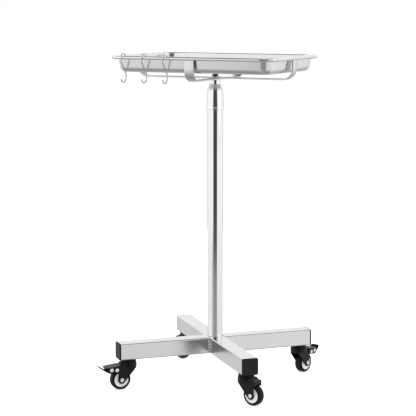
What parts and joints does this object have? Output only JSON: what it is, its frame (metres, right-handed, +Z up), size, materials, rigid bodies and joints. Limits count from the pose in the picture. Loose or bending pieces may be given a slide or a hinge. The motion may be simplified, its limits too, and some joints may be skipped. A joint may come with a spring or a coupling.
{
  "type": "instrument cart",
  "caption": "Instrument cart: a lift-off steel tray with hanging hooks on a crossed-strap cradle, a telescopic locking mast and a cross base on swivel casters.",
  "frame": {"origin": "on the floor, under the mast's axis", "axes": "+Z up along the mast, +X along the tray's long side, -Y towards the side where the hooks hang"},
  "size_m": [0.44, 0.459, 0.8183],
  "materials": {
    "leg_steel": "satin",
    "weld_steel": "as welded",
    "pole_chrome": "bright",
    "tray_steel": "polished",
    "strap_steel": "satin",
    "hook_wire": "bright",
    "cap_plastic": "fine grain",
    "fork_plastic": "moulded",
    "pedal_steel": "black",
    "tyre_rubber": "smooth",
    "core_plastic": "moulded",
    "zinc_steel": "plated",
    "bolt_steel": "blackened",
    "nylon": "moulded"
  },
  "bodies": {
    "base": {"front_rear_tube": "leg_steel", "left_leg_tube": "leg_steel", "right_leg_tube": "leg_steel", "leg_weld_beads": "weld_steel", "left_end_cap": "cap_plastic", "front_end_cap": "cap_plastic", "right_end_cap": "cap_plastic", "back_end_cap": "cap_plastic", "pole_tube": "pole_chrome", "pole_foot_plug": "zinc_steel", "pole_foot_bolt": "zinc_steel", "pole_guide_bush": "nylon", "grip_collet": "nylon", "left_caster_stem": "zinc_steel", "front_caster_stem": "zinc_steel", "right_caster_stem": "zinc_steel", "back_caster_stem": "zinc_steel", "left_caster_race": "pedal_steel", "front_caster_race": "pedal_steel", "right_caster_race": "pedal_steel", "back_caster_race": "pedal_steel", "stem_nuts": "zinc_steel"},
    "lock": {"lock_collar": "pole_chrome", "collar_cap": "pole_chrome"},
    "slider": {"rod_guide_bush": "nylon"},
    "mast": {"mast_rod": "pole_chrome", "rod_end_plug": "zinc_steel", "rod_retaining_ring": "zinc_steel", "rod_top_plug": "zinc_steel", "short_strap": "strap_steel", "long_strap": "strap_steel", "strap_washer": "zinc_steel", "strap_bolt": "bolt_steel"},
    "tray": {"tray": "tray_steel"},
    "left_hook": {"left_hook": "hook_wire"},
    "middle_hook": {"middle_hook": "hook_wire"},
    "right_hook": {"right_hook": "hook_wire"},
    "left_caster": {"left_fork": "fork_plastic", "left_axle": "zinc_steel", "left_pedal_pin": "zinc_steel"},
    "left_wheel": {"left_wheel_core": "core_plastic", "left_tyre": "tyre_rubber"},
    "front_caster": {"front_fork": "fork_plastic", "front_axle": "zinc_steel"},
    "front_wheel": {"front_wheel_core": "core_plastic", "front_tyre": "tyre_rubber"},
    "right_caster": {"right_fork": "fork_plastic", "right_axle": "zinc_steel", "right_pedal_pin": "zinc_steel"},
    "right_wheel": {"right_wheel_core": "core_plastic", "right_tyre": "tyre_rubber"},
    "back_caster": {"back_fork": "fork_plastic", "back_axle": "zinc_steel"},
    "back_wheel": {"back_wheel_core": "core_plastic", "back_tyre": "tyre_rubber"},
    "left_brake": {"left_pedal": "pedal_steel", "left_brake_shoe": "tyre_rubber"},
    "right_brake": {"right_pedal": "pedal_steel", "right_brake_shoe": "tyre_rubber"}
  },
  "joints": [
    {"name": "height_slide", "type": "slide", "parent": "base", "child": "slider", "axis": [0, 0, 1], "range_m": [0, 0.45]},
    {"name": "mast_swivel", "type": "hinge", "parent": "slider", "child": "mast", "pos_m": [0, 0, 0.7], "axis": [0, 0, 1], "continuous": true},
    {"name": "lock_collar_turn", "type": "hinge", "parent": "base", "child": "lock", "pos_m": [0, 0, 0.7], "axis": [0, 0, 1], "range_deg": [0, 90]},
    {"name": "tray_lift", "type": "slide", "parent": "mast", "child": "tray", "axis": [0, 0, 1], "range_m": [0, 0.12]},
    {"name": "left_hook_swing", "type": "hinge", "parent": "tray", "child": "left_hook", "pos_m": [-0.175, -0.1445, 0.811], "axis": [0, 1, 0], "range_deg": [-25, 25]},
    {"name": "middle_hook_swing", "type": "hinge", "parent": "tray", "child": "middle_hook", "pos_m": [-0.119, -0.1445, 0.811], "axis": [0, 1, 0], "range_deg": [-25, 25]},
    {"name": "right_hook_swing", "type": "hinge", "parent": "tray", "child": "right_hook", "pos_m": [-0.063, -0.1445, 0.811], "axis": [0, 1, 0], "range_deg": [-25, 25]},
    {"name": "left_swivel", "type": "hinge", "parent": "base", "child": "left_caster", "pos_m": [-0.1591, -0.1591, 0.066], "axis": [0, 0, 1], "continuous": true},
    {"name": "left_wheel_spin", "type": "hinge", "parent": "left_caster", "child": "left_wheel", "pos_m": [-0.1732, -0.17533, 0.025], "axis": [0.7547, -0.6561, 0], "continuous": true},
    {"name": "front_swivel", "type": "hinge", "parent": "base", "child": "front_caster", "pos_m": [0.1591, -0.1591, 0.066], "axis": [0, 0, 1], "continuous": true},
    {"name": "front_wheel_spin", "type": "hinge", "parent": "front_caster", "child": "front_wheel", "pos_m": [0.1802, -0.1632, 0.025], "axis": [0.1908, 0.9816, 0], "continuous": true},
    {"name": "right_swivel", "type": "hinge", "parent": "base", "child": "right_caster", "pos_m": [0.1591, 0.1591, 0.066], "axis": [0, 0, 1], "continuous": true},
    {"name": "right_wheel_spin", "type": "hinge", "parent": "right_caster", "child": "right_wheel", "pos_m": [0.16393, 0.18005, 0.025], "axis": [-0.9744, 0.225, 0], "continuous": true},
    {"name": "back_swivel", "type": "hinge", "parent": "base", "child": "back_caster", "pos_m": [-0.1591, 0.1591, 0.066], "axis": [0, 0, 1], "continuous": true},
    {"name": "back_wheel_spin", "type": "hinge", "parent": "back_caster", "child": "back_wheel", "pos_m": [-0.17808, 0.16919, 0.025], "axis": [-0.4695, -0.8829, 0], "continuous": true},
    {"name": "left_pedal_press", "type": "hinge", "parent": "left_caster", "child": "left_brake", "pos_m": [-0.18186, -0.18529, 0.0515], "axis": [0.7547, -0.6561, 0], "range_deg": [0, 18]},
    {"name": "right_pedal_press", "type": "hinge", "parent": "right_caster", "child": "right_brake", "pos_m": [0.1669, 0.19291, 0.0515], "axis": [-0.9744, 0.225, 0], "range_deg": [0, 18]}
  ]
}
